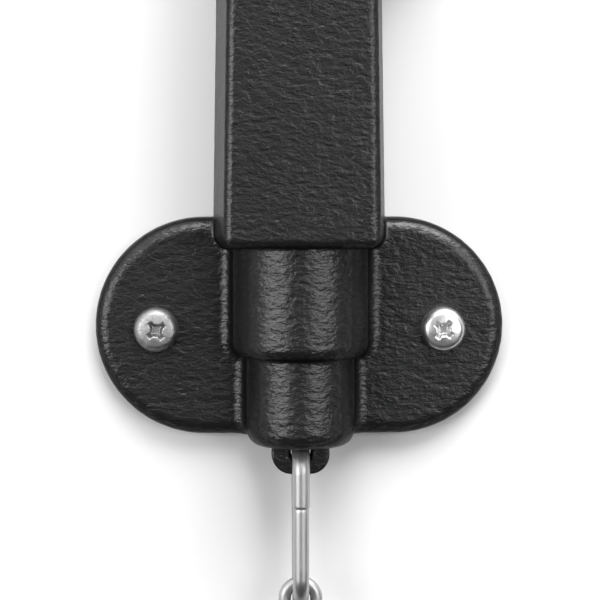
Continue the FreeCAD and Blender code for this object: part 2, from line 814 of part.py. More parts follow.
def chain_link(number):
    """A long link of round wire, its top crown's wire centred on its own origin."""
    turn = QUARTER_TURN if number % 2 else UPRIGHT
    wire, crown, span = link_sizes(number)
    body = new_body("chain_link_%d" % number, (0, -size("rod_line"), link_top(number)), turn)
    path = new_sketch(body, "XZ")
    draw_capsule(path, ("0", "%s - %s" % (crown, span)), ("0", "-%s" % crown), crown)
    section = new_sketch(body, "XY", "-%s / 2" % span)
    draw_circle(section, crown, "0", wire)
    bent = body.newObject("PartDesign::AdditivePipe", "Wire")
    bent.Profile = section
    bent.Spine = (path, ["Edge1", "Edge2", "Edge3", "Edge4"])
    doc.recompute()


def pull_ring(last_link):
    ring = doc.addObject("Part::Torus", "Ring")
    bind(ring, "Radius1", "ring_radius")
    bind(ring, "Radius2", "ring_wire")
    top = link_top(last_link) - size("link_span - wire_radius - ring_wire - chain_gap")
    ring.Placement = Placement(Vector(0, -size("rod_line"), top - size("ring_radius")), TO_FRONT)
    finished(ring, "pull_ring")


def main():
    fill_sheet()
    latch_housing()
    back_cover()
    cover_screws()
    bolt_face_plate()
    face_plate_screws()
    bolt_guide()
    rod_guide_bush()
    end_stop_bumper()
    spring_seat_washer()
    upper_rod_guide()
    mounting_screw("mounting_screw_left", "-screw_reach", "0")
    mounting_screw("mounting_screw_right", "screw_reach", "0")
    mounting_screw("mounting_screw_top", "0", "ear_centre")
    pull_rod()
    cam_plate()
    cam_plate_pin()
    spring_collar()
    spring_clip()
    pull_eye()
    eye_pin()
    return_spring()
    latch_bolt()
    bolt_cross_pin()
    links = int(size("link_count"))
    for number in range(1, links + 1):
        chain_link(number)
    pull_ring(links)
    doc.recompute()
    write_parts()


def write_parts():
    for thing in doc.Objects:
        if "Invalid" in thing.State or "Error" in thing.State:
            raise RuntimeError("%s failed: %s" % (thing.Label, thing.State))
    for piece in sub_parts:
        if piece.Shape.isNull() or not piece.Shape.isValid():
            raise RuntimeError("%s has no valid shape" % piece.Label)
    os.makedirs("parts", exist_ok=True)
    for piece in sub_parts:
        piece.Shape.exportStep("parts/%s.step" % piece.Label)
        print("%-22s solids %d  volume %9.1f" % (piece.Label, len(piece.Shape.Solids), piece.Shape.Volume))


main()
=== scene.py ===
import math

import bpy
import numpy as np
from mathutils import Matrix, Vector


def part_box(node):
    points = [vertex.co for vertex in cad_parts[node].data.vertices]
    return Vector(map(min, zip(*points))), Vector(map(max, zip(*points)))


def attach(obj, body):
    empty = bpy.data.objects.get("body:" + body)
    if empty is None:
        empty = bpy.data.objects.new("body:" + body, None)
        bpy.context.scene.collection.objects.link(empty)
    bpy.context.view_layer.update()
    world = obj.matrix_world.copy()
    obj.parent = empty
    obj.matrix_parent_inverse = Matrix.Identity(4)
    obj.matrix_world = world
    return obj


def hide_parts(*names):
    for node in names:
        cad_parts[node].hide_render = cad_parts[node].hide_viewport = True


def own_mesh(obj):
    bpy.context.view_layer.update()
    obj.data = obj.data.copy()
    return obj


# The stair gate latch's looks. The shapes with rounded roots and grain are written as
# distance fields in millimetres, meshed on a grid and scaled to metres; wires are swept.

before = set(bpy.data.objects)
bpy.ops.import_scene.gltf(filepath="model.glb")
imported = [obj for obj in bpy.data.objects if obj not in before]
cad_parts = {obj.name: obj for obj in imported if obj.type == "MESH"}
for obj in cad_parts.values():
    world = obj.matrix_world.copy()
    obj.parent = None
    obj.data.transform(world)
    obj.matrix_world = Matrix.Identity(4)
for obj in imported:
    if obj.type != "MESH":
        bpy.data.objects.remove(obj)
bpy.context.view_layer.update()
MM = 0.001


def box_mm(node):
    """(lowest, highest) corner of a CAD node, in millimetres."""
    low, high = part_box(node)
    return np.array(low) / MM, np.array(high) / MM


def grid_step(fine):
    return fine


# ---- sizes in millimetres: what the frame's boxes tell, then what the CAD model has ----

HOUSING_BOX = box_mm("latch_housing")
BOLT_BOX = box_mm("latch_bolt")
FACE_BOX = box_mm("bolt_face_plate")
EYE_BOX = box_mm("pull_eye")
RIGHT_SCREW = sum(box_mm("mounting_screw_right")) / 2
TOP_SCREW = sum(box_mm("mounting_screw_top")) / 2
ROD_LINE = -(sum(box_mm("pull_rod")) / 2)[1]    # the rod's axis stands this far off the wall

# flange plate and ear
PLATE_RADIUS = 23.2
PLATE_HALF = HOUSING_BOX[1][0] - PLATE_RADIUS
PLATE_CENTRE = 0.6
PLATE_THICK = 5.0
PLATE_RIM = 3.0
EAR_CENTRE = TOP_SCREW[2]
EAR_RADIUS = 9.5
EAR_ROOT = 15.0             # how far the ear's sides reach below the column's top
EAR_RIM = 1.6
EAR_FILLET = 1.2
# column
COLUMN_HALF = 18.4
COLUMN_HALF_TOP = 16.8
COLUMN_BOTTOM = 17.1
COLUMN_TOP = 125.0
COLUMN_DEPTH = -HOUSING_BOX[0][1]
COLUMN_LEAN = math.tan(math.radians(4.0))
COLUMN_CORNER = 3.0         # rounding of the edges between sides and ends,
COLUMN_EDGE = 1.8           # of those between sides and front,
COLUMN_LIP = 1.9            # and of those between ends and front
COLUMN_SEAM = 0.3           # fillet between the column and the barrels
COLUMN_ROOT = 1.0           # fillet between the column and the plate
COLUMN_WALL = 2.6           # thickness of its front
CAVITY_HALF = 14.0
CAVITY_FLOOR = 22.8
CAVITY_ROOF = 120.0
CAVITY_CORNER = 1.0
CAVITY_FRONT_CORNER = 0.8
# barrels: radius, lower end, rounding of that end
BARRELS = ((14.25, -5.1, 2.8), (11.4, HOUSING_BOX[0][2], 3.4))
BARREL_OVERLAP = 3.0        # how far they run up into the column
BARREL_FILLET = 0.6         # between the two
BARREL_ROOT = 3.0           # fillet between them and the plate
BORE_RADIUS = 10.0
BORE_FLOOR = -1.8
MOUTH_RADIUS = 7.2
MOUTH_EDGE = 0.6
# screw holes, and the lugs behind the column's front that the cover's screws go into
SCREW_HOLE = 2.6
SCREW_HOLE_EDGE = 0.25
SCREW_REACH = RIGHT_SCREW[0]
LUG_RADIUS = 3.0
LUG_REACH = 10.7
LUG_LEVELS = (46.0, 115.0)
LUG_FOOT = 1.0              # how far they run into the front
LUG_FILLET = 0.4
COVER_FRONT = 2.6           # they begin here, in front of the back cover
PILOT_RADIUS = 1.3
PILOT_END = 14.0            # how far off the wall their holes reach
# the bolt's window and the face plate's seat
BOLT_LEVEL = sum(BOLT_BOX)[2] / 2
BOLT_HALF_DEEP = 6.5
BOLT_HALF_TALL = 6.0
MOUTH_GAP = 0.4
WINDOW_START = 9.0          # x where the window begins
SEAT = 15.4                 # x of the seat
SEAT_HALF_DEEP = 9.0
SEAT_HALF_TALL = 16.0
SEAT_SCREWS = 12.0

PAST = 1.0                  # a cut or an overlap runs this far past the surface that it meets
GRAIN_HEIGHT = 0.025
GRAIN_COARSE = (2.3, 2.3, 1.1)      # length of the bumps along X, Y and Z
GRAIN_FINE = (1.5, 1.5, 0.8)
GRAIN_FINE_SHARE = 0.6
GRAIN_START = 0.4           # the grain begins this far off the wall
SKIN = 0.15                 # a point this near the outside is on it
NORMAL_WIDTH = 0.05         # how far to each side the field's slope is felt
PULL_SHARE = 0.8            # how much of its distance a point is moved to the surface each time


# ---- distance fields ----

def rounded_meet(a, b, radius):
    """Inside both fields, with the edge where they meet rounded."""
    reach_a = np.maximum(a + radius, 0)
    reach_b = np.maximum(b + radius, 0)
    return np.minimum(np.maximum(a, b), -radius) + np.sqrt(reach_a * reach_a + reach_b * reach_b)


def rounded_join(a, b, radius):
    """Inside either field, with a fillet where they meet."""
    reach_a = np.maximum(radius - a, 0)
    reach_b = np.maximum(radius - b, 0)
    return np.maximum(np.minimum(a, b), radius) - np.sqrt(reach_a * reach_a + reach_b * reach_b)


def root_inside(a, b, radius, outline):
    """Inside either field, with a fillet where they meet that stays inside an outline."""
    return np.minimum(np.minimum(a, b), np.maximum(rounded_join(a, b, radius), outline))


def slab(value, low, high):
    """Between two planes."""
    return np.maximum(low - value, value - high)


def capsule(x, z, middle, half, radius):
    """A stadium across x about (0, middle)."""
    return np.hypot(np.maximum(np.abs(x) - half, 0), z - middle) - radius


def net_points(value, corner, step):
    """The cells that the surface crosses, and one point in each, from the crossed edges."""
    inside = value < 0
    total = np.zeros(tuple(n - 1 for n in value.shape), dtype=np.uint8)
    offsets = [(i, j, k) for i in (0, 1) for j in (0, 1) for k in (0, 1)]
    for i, j, k in offsets:
        total += inside[i:i + total.shape[0], j:j + total.shape[1], k:k + total.shape[2]]
    cells = np.argwhere((total > 0) & (total < 8))
    number = np.full(total.shape, -1, dtype=np.int32)
    number[cells[:, 0], cells[:, 1], cells[:, 2]] = np.arange(len(cells))
    at = {}
    for offset in offsets:
        spot = cells + np.array(offset)
        at[offset] = value[spot[:, 0], spot[:, 1], spot[:, 2]]
    sums = np.zeros((len(cells), 3))
    crossings = np.zeros(len(cells))
    for start in offsets:
        for axis in range(3):
            if start[axis]:
                continue
            end = tuple(1 if n == axis else start[n] for n in range(3))
            crossed = (at[start] < 0) != (at[end] < 0)
            share = at[start] / np.where(crossed, at[start] - at[end], 1.0)
            point = np.tile(np.array(start, dtype=float), (len(cells), 1))
            point[:, axis] += share
            sums[crossed] += point[crossed]
            crossings += crossed
    points = corner + step * (cells + sums / crossings[:, None])
    return number, points, inside


def net_faces(number, inside):
    """Quads round each grid edge that the surface crosses, facing outwards."""
    faces = []
    for axis in range(3):
        others = [n for n in range(3) if n != axis]
        first = [slice(None)] * 3
        second = [slice(None)] * 3
        first[axis] = slice(None, -1)
        second[axis] = slice(1, None)
        changed = inside[tuple(first)] != inside[tuple(second)]
        spots = np.argwhere(changed)
        keep = np.ones(len(spots), dtype=bool)
        for other in others:
            keep &= (spots[:, other] > 0) & (spots[:, other] < number.shape[other])
        spots = spots[keep]
        leaving = inside[tuple(first)][spots[:, 0], spots[:, 1], spots[:, 2]]
        quad = []
        for back_a, back_b in ((1, 1), (0, 1), (0, 0), (1, 0)):
            cell = spots.copy()
            cell[:, others[0]] -= back_a
            cell[:, others[1]] -= back_b
            quad.append(number[cell[:, 0], cell[:, 1], cell[:, 2]])
        quad = np.stack(quad, axis=1)
        flip = leaving if axis == 1 else ~leaving
        quad[flip] = quad[flip][:, ::-1]
        faces.append(quad)
    return np.concatenate(faces)


def slope(field, points, width):
    """Unit normals of a field at points."""
    normal = np.empty_like(points)
    for axis in range(3):
        ahead = points.copy()
        behind = points.copy()
        ahead[:, axis] += width
        behind[:, axis] -= width
        normal[:, axis] = field(*ahead.T) - field(*behind.T)
    return normal / np.maximum(np.linalg.norm(normal, axis=1), 1e-9)[:, None]


def field_mesh(field, low, high, step):
    """(points, normals, faces) of the surface where a field is zero, in millimetres."""
    corner = np.array(low, dtype=float) - 2 * step
    counts = np.ceil((np.array(high) + 2 * step - corner) / step).astype(int) + 1
    axes = [corner[n] + step * np.arange(counts[n]) for n in range(3)]
    x, y, z = (grid.astype(np.float32) for grid in np.meshgrid(*axes, indexing="ij", sparse=True))
    value = np.broadcast_to(field(x, y, z), tuple(counts))
    number, points, inside = net_points(value, corner, step)
    faces = net_faces(number, inside)
    for _ in range(2):
        normals = slope(field, points, NORMAL_WIDTH)
        miss = np.clip(field(*points.T), -step / 2, step / 2)
        points = points - PULL_SHARE * normals * miss[:, None]
    return points, slope(field, points, step / 3), faces


def new_mesh(name, points, faces, smooth=True):
    """An object from millimetre points and a list or array of faces."""
    mesh = bpy.data.meshes.new(name)
    mesh.from_pydata([tuple(p) for p in np.asarray(points) * MM], [], [tuple(f) for f in faces])
    if smooth:
        mesh.polygons.foreach_set("use_smooth", [True] * len(mesh.polygons))
    mesh.update()
    thing = bpy.data.objects.new(name, mesh)
    bpy.context.scene.collection.objects.link(thing)
    return thing


def mark(thing, name, values):
    """Stores one number for each point, for the materials to read."""
    layer = thing.data.attributes.new(name, "FLOAT", "POINT")
    layer.data.foreach_set("value", np.asarray(values, dtype=np.float32))


def lattice_noise(points, seed):
    """Smooth noise from -1 to 1 on a unit lattice."""
    base = np.floor(points).astype(np.int64)
    part = points - base
    ease = part * part * (3 - 2 * part)
    total = np.zeros(len(points))
    for i in (0, 1):
        for j in (0, 1):
            for k in (0, 1):
                key = ((base[:, 0] + i) * 73856093) ^ ((base[:, 1] + j) * 19349663)
                key = (key ^ ((base[:, 2] + k) * 83492791)) + seed * 2654435761
                key = (key ^ (key >> 13)) * 1274126177
                level = ((key ^ (key >> 16)) & 0xFFFF) / 32767.5 - 1
                weight = np.where(i, ease[:, 0], 1 - ease[:, 0])
                weight = weight * np.where(j, ease[:, 1], 1 - ease[:, 1])
                weight = weight * np.where(k, ease[:, 2], 1 - ease[:, 2])
                total += weight * level
    return total


def grain(points, normals, mask):
    """Raises the long low bumps of the moulded grain along the normals."""
    bumps = lattice_noise(points / np.array(GRAIN_COARSE), 1)
    bumps = bumps + GRAIN_FINE_SHARE * lattice_noise(points / np.array(GRAIN_FINE), 2)
    return points + normals * (GRAIN_HEIGHT * bumps * mask)[:, None]


# ---- housing ----

def housing_outside(x, y, z):
    """The housing as a closed block, before its hollows."""
    front = -y
    outline = capsule(x, z, PLATE_CENTRE, PLATE_HALF, PLATE_RADIUS)
    plate = rounded_meet(outline, front - PLATE_THICK, PLATE_RIM)
    round_side = np.where(front > ROD_LINE, np.hypot(x, front - ROD_LINE), np.abs(x))
    tubes = []
    for radius, bottom, rounding in BARRELS:
        tube = rounded_meet(round_side - radius, bottom - z, rounding)
        tubes.append(np.maximum(tube, z - COLUMN_BOTTOM - BARREL_OVERLAP))
    barrels = rounded_join(tubes[0], tubes[1], BARREL_FILLET)
    solid = root_inside(plate, barrels, BARREL_ROOT, outline)

    rise = (z - COLUMN_BOTTOM) / (COLUMN_TOP - COLUMN_BOTTOM)
    half = COLUMN_HALF + (COLUMN_HALF_TOP - COLUMN_HALF) * rise
    lean = front * COLUMN_LEAN
    side = np.abs(x) - half + lean
    ends = slab(z, COLUMN_BOTTOM + lean, COLUMN_TOP - lean)
    column = rounded_meet(rounded_meet(side, front - COLUMN_DEPTH, COLUMN_EDGE), ends, COLUMN_LIP)
    column = np.maximum(column, rounded_meet(side, ends, COLUMN_CORNER))
    solid = np.minimum(solid, root_inside(column, plate, COLUMN_ROOT, outline))
    solid = rounded_join(solid, column, COLUMN_SEAM)

    beyond = np.maximum(z - EAR_CENTRE, 0) + np.minimum(z - COLUMN_TOP + EAR_ROOT, 0)
    ear = np.hypot(x, beyond) - EAR_RADIUS
    ear = rounded_meet(ear, front - PLATE_THICK, EAR_RIM)
    return np.maximum(rounded_join(solid, ear, EAR_FILLET), y)


def beside_bolt(y, z):
    """Inside the bolt's section with a gap round it."""
    return np.maximum(np.abs(y + ROD_LINE) - BOLT_HALF_DEEP - MOUTH_GAP,
                      np.abs(z - BOLT_LEVEL) - BOLT_HALF_TALL - MOUTH_GAP)


def housing_field(x, y, z):
    """The housing with its cavity, lugs, bore, screw holes, window and face plate's seat."""
    front = -y
    around_rod = np.hypot(x, front - ROD_LINE)
    cavity = rounded_meet(np.abs(x) - CAVITY_HALF, slab(z, CAVITY_FLOOR, CAVITY_ROOF), CAVITY_CORNER)
    cavity = rounded_meet(cavity, front - COLUMN_DEPTH + COLUMN_WALL, CAVITY_FRONT_CORNER)
    solid = np.maximum(housing_outside(x, y, z), -cavity)
    for level in LUG_LEVELS:
        at = np.hypot(np.abs(x) - LUG_REACH, z - level)
        lug = np.maximum(at - LUG_RADIUS, slab(front, COVER_FRONT, COLUMN_DEPTH - LUG_FOOT))
        solid = rounded_join(solid, lug, LUG_FILLET)
        solid = np.maximum(solid, np.minimum(PILOT_RADIUS - at, PILOT_END - front))
    bore = np.maximum(around_rod - BORE_RADIUS, slab(z, BORE_FLOOR, CAVITY_FLOOR + PAST))
    mouth = np.maximum(around_rod - MOUTH_RADIUS, z - BORE_FLOOR - PAST)
    solid = np.maximum(solid, -bore)
    solid = rounded_meet(solid, -mouth, MOUTH_EDGE)
    for across, level in ((-SCREW_REACH, 0.0), (SCREW_REACH, 0.0), (0.0, EAR_CENTRE)):
        hole = np.hypot(x - across, z - level) - SCREW_HOLE
        solid = rounded_meet(solid, -hole, SCREW_HOLE_EDGE)
    window = beside_bolt(y, z)
    for way in (-1, 1):
        pilot = np.hypot(y + ROD_LINE, z - BOLT_LEVEL - way * SEAT_SCREWS) - PILOT_RADIUS
        window = np.minimum(window, pilot)
    solid = np.maximum(solid, -np.maximum(window, WINDOW_START - x))
    seat = np.maximum(np.abs(y + ROD_LINE) - SEAT_HALF_DEEP, np.abs(z - BOLT_LEVEL) - SEAT_HALF_TALL)
    return np.maximum(solid, -np.maximum(seat, SEAT - x))


def latch_housing(material):
    """The one moulding of column, plate and barrels, grained on its outer faces."""
    points, normals, faces = field_mesh(housing_field, *HOUSING_BOX, grid_step(0.4))
    outer = np.abs(housing_outside(*points.T)) < SKIN
    mask = np.where(outer & (points[:, 1] < -GRAIN_START), 1.0, 0.0)
    body = new_mesh("housing_skin", grain(points, normals, mask), faces)
    mark(body, "grained", mask)
    body.data.materials.append(material)
    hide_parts("latch_housing")
    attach(body, "housing")


# ---- pull eye ----

EYE_TOP = EYE_BOX[1][2]
EYE_BOSS_BOTTOM = -21.3
EYE_BOSS_RADIUS = 6.6
EYE_HALF = 6.15
EYE_HALF_THICK = 2.0
EYE_BOTTOM = EYE_BOX[0][2]
EYE_CORNER = 4.2
EYE_EDGE = 0.5
EYE_HOLE = 2.1
EYE_HOLE_EDGE = 0.4         # rounding of the hole's rim at the top,
EYE_HOLE_ROUND = 1.1        # how much more of it there is below,
EYE_HOLE_SIDES = 0.5        # the share of that at the hole's sides,
EYE_HOLE_GAIN = 1.2         # and how fast it grows downwards
EYE_PLAIN = 0.6             # the width of the ungrained rim
EYE_GRAIN = 0.6             # the grain's height beside the housing's
CHAIN_TOP = -25.2
ROD_RADIUS = 4.0
ROD_BOTTOM = -20.3


def eye_field(x, y, z):
    """A round boss on the rod's end with a flat tongue below it for the chain."""
    deep = y + ROD_LINE
    boss = rounded_meet(np.hypot(x, deep) - EYE_BOSS_RADIUS, slab(z, EYE_BOSS_BOTTOM, EYE_TOP), EYE_EDGE)
    outline = rounded_meet(np.abs(x) - EYE_HALF, EYE_BOTTOM - z, EYE_CORNER)
    outline = np.maximum(outline, z - EYE_BOSS_BOTTOM - PAST)
    tongue = rounded_meet(outline, np.abs(deep) - EYE_HALF_THICK, EYE_EDGE)
    at = np.hypot(x, z - CHAIN_TOP)
    below = np.clip(EYE_HOLE_SIDES + EYE_HOLE_GAIN * (CHAIN_TOP - z) / np.maximum(at, 0.1), 0, 1)
    tongue = rounded_meet(tongue, EYE_HOLE - at, EYE_HOLE_EDGE + EYE_HOLE_ROUND * below)
    solid = rounded_join(boss, tongue, EYE_EDGE)
    return np.maximum(solid, np.minimum(ROD_RADIUS - np.hypot(x, deep), z - ROD_BOTTOM))


def pull_eye(material):
    """The eye under the barrels, grained on its tongue apart from the hole's rim."""
    points, normals, faces = field_mesh(eye_field, *EYE_BOX, grid_step(0.2))
    away = np.hypot(points[:, 0], points[:, 2] - CHAIN_TOP) > EYE_HOLE + EYE_PLAIN
    mask = np.where(away & (points[:, 2] < EYE_BOSS_BOTTOM), 1.0, 0.0)
    eye = new_mesh("eye_tongue", grain(points, normals, mask * EYE_GRAIN), faces)
    mark(eye, "grained", mask)
    eye.data.materials.append(material)
    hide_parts("pull_eye")
    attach(eye, "pull_rod")


# ---- mounting screws ----

HEAD_RADIUS = 4.75
HEAD_TALL = 3.3
HEAD_ROUND = 1.5
HEAD_DOME = 0.032           # the top's fall at 1 mm from the middle; it grows with the square
RECESS_ARM = 2.3            # reach of the cross, half width of its arms and radius of its middle,
RECESS_HALF = 0.5
RECESS_MIDDLE = 1.35
RECESS_TAPERS = (0.6, 0.12, 0.3)    # and how much of each goes with a millimetre of depth
RECESS_DEEP = 1.7
RECESS_EDGE = 0.28
SHADE_START = 0.25          # the painted shade in the cross recess begins this far below the head's top
SHADE_DEEP = 0.8
SHADE_REACH = 2.6
NECK = 2.35
NECK_TOP = 0.5              # the neck runs this far into the head
CORE = 1.95
THREAD = 0.38
THREAD_SHARP = 2.6
THREAD_SLOPE = 0.75         # keeps the thread's field no steeper than a distance
SHANK_OVERLAP = 0.2
PITCH = 1.8
SCREW_LENGTH = 30.0
SCREW_TIP = 5.0


def screw_field(across, level, turn):
    """The field of a pan-head screw in the plate, with its cross recess turned by some degrees."""
    cos, sin = math.cos(math.radians(turn)), math.sin(math.radians(turn))
    arm_taper, half_taper, middle_taper = RECESS_TAPERS

    def field(x, y, z):
        side, up, out = x - across, z - level, -y - PLATE_THICK
        reach = np.hypot(side, up)
        head = rounded_meet(reach - HEAD_RADIUS, out - HEAD_TALL + HEAD_DOME * reach * reach, HEAD_ROUND)
        head = np.maximum(head, -out)
        deep = HEAD_TALL - out
        u = np.abs(cos * side + sin * up)
        v = np.abs(cos * up - sin * side)
        arm, half = RECESS_ARM - arm_taper * deep, RECESS_HALF - half_taper * deep
        cross = np.minimum(np.maximum(u - arm, v - half), np.maximum(v - arm, u - half))
        cross = np.minimum(cross, reach - RECESS_MIDDLE + middle_taper * deep)
        recess = np.maximum(cross, deep - RECESS_DEEP)
        head = rounded_meet(head, -recess, RECESS_EDGE)
        neck = np.maximum(reach - NECK, slab(out, -PLATE_THICK, NECK_TOP))
        turned = np.arctan2(up, side)
        wave = np.abs(((out / PITCH + turned / (2 * math.pi)) % 1.0) * 2 - 1)
        taper = np.clip((out + SCREW_LENGTH) / SCREW_TIP, 0, 1)
        crest = (CORE + THREAD * np.maximum(1 - THREAD_SHARP * (1 - wave), 0)) * taper
        along = slab(out, -SCREW_LENGTH, -PLATE_THICK + SHANK_OVERLAP)
        shank = np.maximum((reach - crest) * THREAD_SLOPE, along)
        return np.minimum(np.minimum(head, neck), shank)
    return field


def mounting_screws(materials):
    """The three wall screws, each with the turn of its cross in degrees."""
    spots = (
        ("left", -SCREW_REACH, 0.0, 38),
        ("right", SCREW_REACH, 0.0, 51),
        ("top", 0.0, EAR_CENTRE, 12))
    for name, across, level, turn in spots:
        low, high = box_mm("mounting_screw_" + name)
        field = screw_field(across, level, turn)
        points, _, faces = field_mesh(field, low, high, grid_step(0.16))
        screw = new_mesh("screw_" + name, points, faces)
        # painted shade: a mask over the cross recess, stored as the recess attribute, that darkens the
        # screw's colour there
        depth = HEAD_TALL - (-points[:, 1] - PLATE_THICK)
        reach = np.hypot(points[:, 0] - across, points[:, 2] - level)
        recess_shade = np.clip((depth - SHADE_START - HEAD_DOME * reach * reach) / SHADE_DEEP, 0, 1)
        mark(screw, "recess", recess_shade * (reach < SHADE_REACH))
        screw.data.materials.append(materials[name])
        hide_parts("mounting_screw_" + name)
        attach(screw, "housing")


# ---- chain ----

def swept(name, path, tangents, radii, around, side):
    """A closed tube along a closed path in a plane whose normal is side."""
    points = []
    count = len(path)
    for at, along, radius in zip(path, tangents, radii):
        out = np.cross(along, side)
        for n in range(around):
            angle = 2 * math.pi * n / around
            points.append(at + radius * (math.cos(angle) * out + math.sin(angle) * side))
    faces = []
    for i in range(count):
        here, there = i * around, (i + 1) % count * around
        for n in range(around):
            following = (n + 1) % around
            faces.append((here + n, here + following, there + following, there + n))
    return new_mesh(name, points, faces)


def link_path(top, crown, span, face_on):
    """Centre line of a link hanging from its top crown, clockwise from the top.

    Returns the points, the ways along, how far each lies along, the length and the link's normal.
    """
    straight = span - 2 * crown
    arc = math.pi * crown
    length = 2 * (straight + arc)
    across = np.array([1.0, 0, 0]) if face_on else np.array([0, -1.0, 0])
    up = np.array([0, 0, 1.0])
    middle = np.array([0, -ROD_LINE, top - crown])
    path, tangents, travelled = [], [], []
    count = int(length / LINK_STEP)
    for n in range(count):
        run = length * n / count
        if run < arc / 2:
            drop, angle = 0.0, run / crown
        elif run < arc / 2 + straight:
            drop, angle = run - arc / 2, math.pi / 2
        elif run < arc * 1.5 + straight:
            drop, angle = straight, math.pi / 2 + (run - arc / 2 - straight) / crown
        elif run < arc * 1.5 + 2 * straight:
            drop, angle = arc * 1.5 + 2 * straight - run, -math.pi / 2
        else:
            drop, angle = 0.0, (run - length) / crown
        sin, cos = math.sin(angle), math.cos(angle)
        path.append(middle - up * drop + crown * (sin * across + cos * up))
        tangents.append(cos * across - sin * up)
        travelled.append(run)
    return np.array(path), np.array(tangents), np.array(travelled), length, np.cross(across, up)


# radii of the wire and of the bends, and the distance between the wire's centres at the two ends
FIRST = {"wire": 1.9, "crown": 4.65, "span": 31.75}
OTHER = {"wire": 1.35, "crown": 3.35, "span": 28.5}
WIRE_EASE = 0.02            # the visible wire's radius is this much less than the CAD model's
# the first link's open joint: its level, and the groove and the thinner wire below it
JOINT_LEVEL = -37.0
JOINT_THINNER = 0.14
JOINT_FADE = 20.0           # the wire grows back over this last length before the top
GROOVE_DEEP = 0.2
GROOVE_FADES = (0.25, 0.08)     # below and above
# a weld: its bead and the notch beside it, each with height, width and place along the wire
WELDS = (0.27, 0.76)        # share of the way round
WELD_BEAD = (0.10, 0.9, 0.0)
WELD_NOTCH = (-0.07, 0.35, 1.5)
LINK_STEP = 0.25
LINK_AROUND = 36
RING_WELD = 0.9             # half turns from the top
RING_EASE = 0.15            # as WIRE_EASE, for the ring
RING_BEAD = (0.12, 1.2, 0.0)
RING_NOTCH = (-0.1, 0.4, 2.0)   # on both sides
RING_COUNT = 220
RING_AROUND = 40


def swell(run, height, width, place):
    """A rise of the wire's radius about a place along it."""
    return height * np.exp(-((run - place) / width) ** 2)


def chain(material):
    """Five links: the one in the eye has an open butt joint in front, the others a weld on a leg."""
    for number in range(1, 6):
        node = "chain_link_%d" % number
        sizes = FIRST if number == 1 else OTHER
        top = box_mm(node)[1][2] - sizes["wire"]
        path, along, run, length, side = link_path(top, sizes["crown"], sizes["span"], number % 2 == 0)
        radii = np.full(len(path), sizes["wire"] - WIRE_EASE)
        if number == 1:
            past = run - (math.pi / 2 - 1) * sizes["crown"] - top + JOINT_LEVEL
            thinner = np.clip((length - run) / JOINT_FADE, 0, 1) * (past > 0)
            fade = np.where(past > 0, *GROOVE_FADES)
            radii = radii - JOINT_THINNER * thinner - GROOVE_DEEP * np.exp(-np.abs(past) / fade)
        else:
            past = run - length * (WELDS[0] if number % 3 else WELDS[1])
            radii = radii + swell(past, *WELD_BEAD) + swell(past, *WELD_NOTCH)
        link = swept("link_wire_%d" % number, path, along, radii, LINK_AROUND, side)
        link.data.materials.append(material)
        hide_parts(node)
        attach(link, node)


def pull_ring(material):
    """A round wire ring, welded near its bottom."""
    low, high = box_mm("pull_ring")
    middle = (low + high) / 2
    wire = (high[1] - low[1]) / 2
    radius = (high[0] - low[0]) / 2 - wire
    angles = [2 * math.pi * n / RING_COUNT for n in range(RING_COUNT)]
    path = np.array([middle + radius * np.array([math.sin(a), 0, math.cos(a)]) for a in angles])
    along = np.array([[math.cos(a), 0, -math.sin(a)] for a in angles])
    past = np.array([abs(a - RING_WELD * math.pi) * radius for a in angles])
    radii = wire - RING_EASE + swell(past, *RING_BEAD) + swell(past, *RING_NOTCH)
    ring = swept("ring_wire", path, along, radii, RING_AROUND, np.array([0, 1.0, 0]))
    ring.data.materials.append(material)
    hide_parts("pull_ring")
    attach(ring, "pull_ring")


# ---- return spring ----


def return_spring(material):
    """The CAD coil with a mesh of its own, carried by the pull rod."""
    coil = bpy.data.objects.new("spring_coil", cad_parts["return_spring"].data.copy())
    bpy.context.scene.collection.objects.link(coil)
    coil.data.materials.clear()
    coil.data.materials.append(material)
    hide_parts("return_spring")
    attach(coil, "pull_rod")
    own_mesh(coil)


# ---- bolt and its face plate ----

BOLT_TIP = 3.0              # depth of the nose's blunt end
BOLT_BEVEL = 9.0
BOLT_EDGE = 0.5
BOLT_TIP_EDGE = 0.6
BOLT_BACK_EDGE = 0.4
FORK_HALF = 1.7
FORK_END = 16.0
PIN_LINE = 4.0
PIN_RADIUS = 1.75
FACE_CORNER = 0.8
FACE_EDGE = 0.35
FACE_WINDOW_EDGE = 0.2
FACE_HOLE = 1.25
FACE_SINK = 1.45            # depth of the countersinks


def bolt_field(x, y, z):
    """A block with a fork at its back and a slanted nose."""
    low, high = BOLT_BOX
    deep = slab(y, low[1], high[1])
    tall = slab(z, low[2], high[2])
    slant_angle = math.atan2(high[1] - low[1] - BOLT_TIP, BOLT_BEVEL)
    tip = high[1] - BOLT_TIP
    slant = (x - high[0]) * math.sin(slant_angle) - (y - tip) * math.cos(slant_angle)
    nose = rounded_meet(x - high[0], slant, BOLT_TIP_EDGE)
    sides = rounded_meet(deep, tall, BOLT_EDGE)
    solid = rounded_meet(rounded_meet(sides, nose, BOLT_EDGE), low[0] - x, BOLT_BACK_EDGE)
    fork = np.maximum(np.abs(y + ROD_LINE) - FORK_HALF, x - FORK_END)
    pin = np.hypot(x - PIN_LINE, z - BOLT_LEVEL) - PIN_RADIUS
    return np.maximum(np.maximum(solid, -fork), -pin)


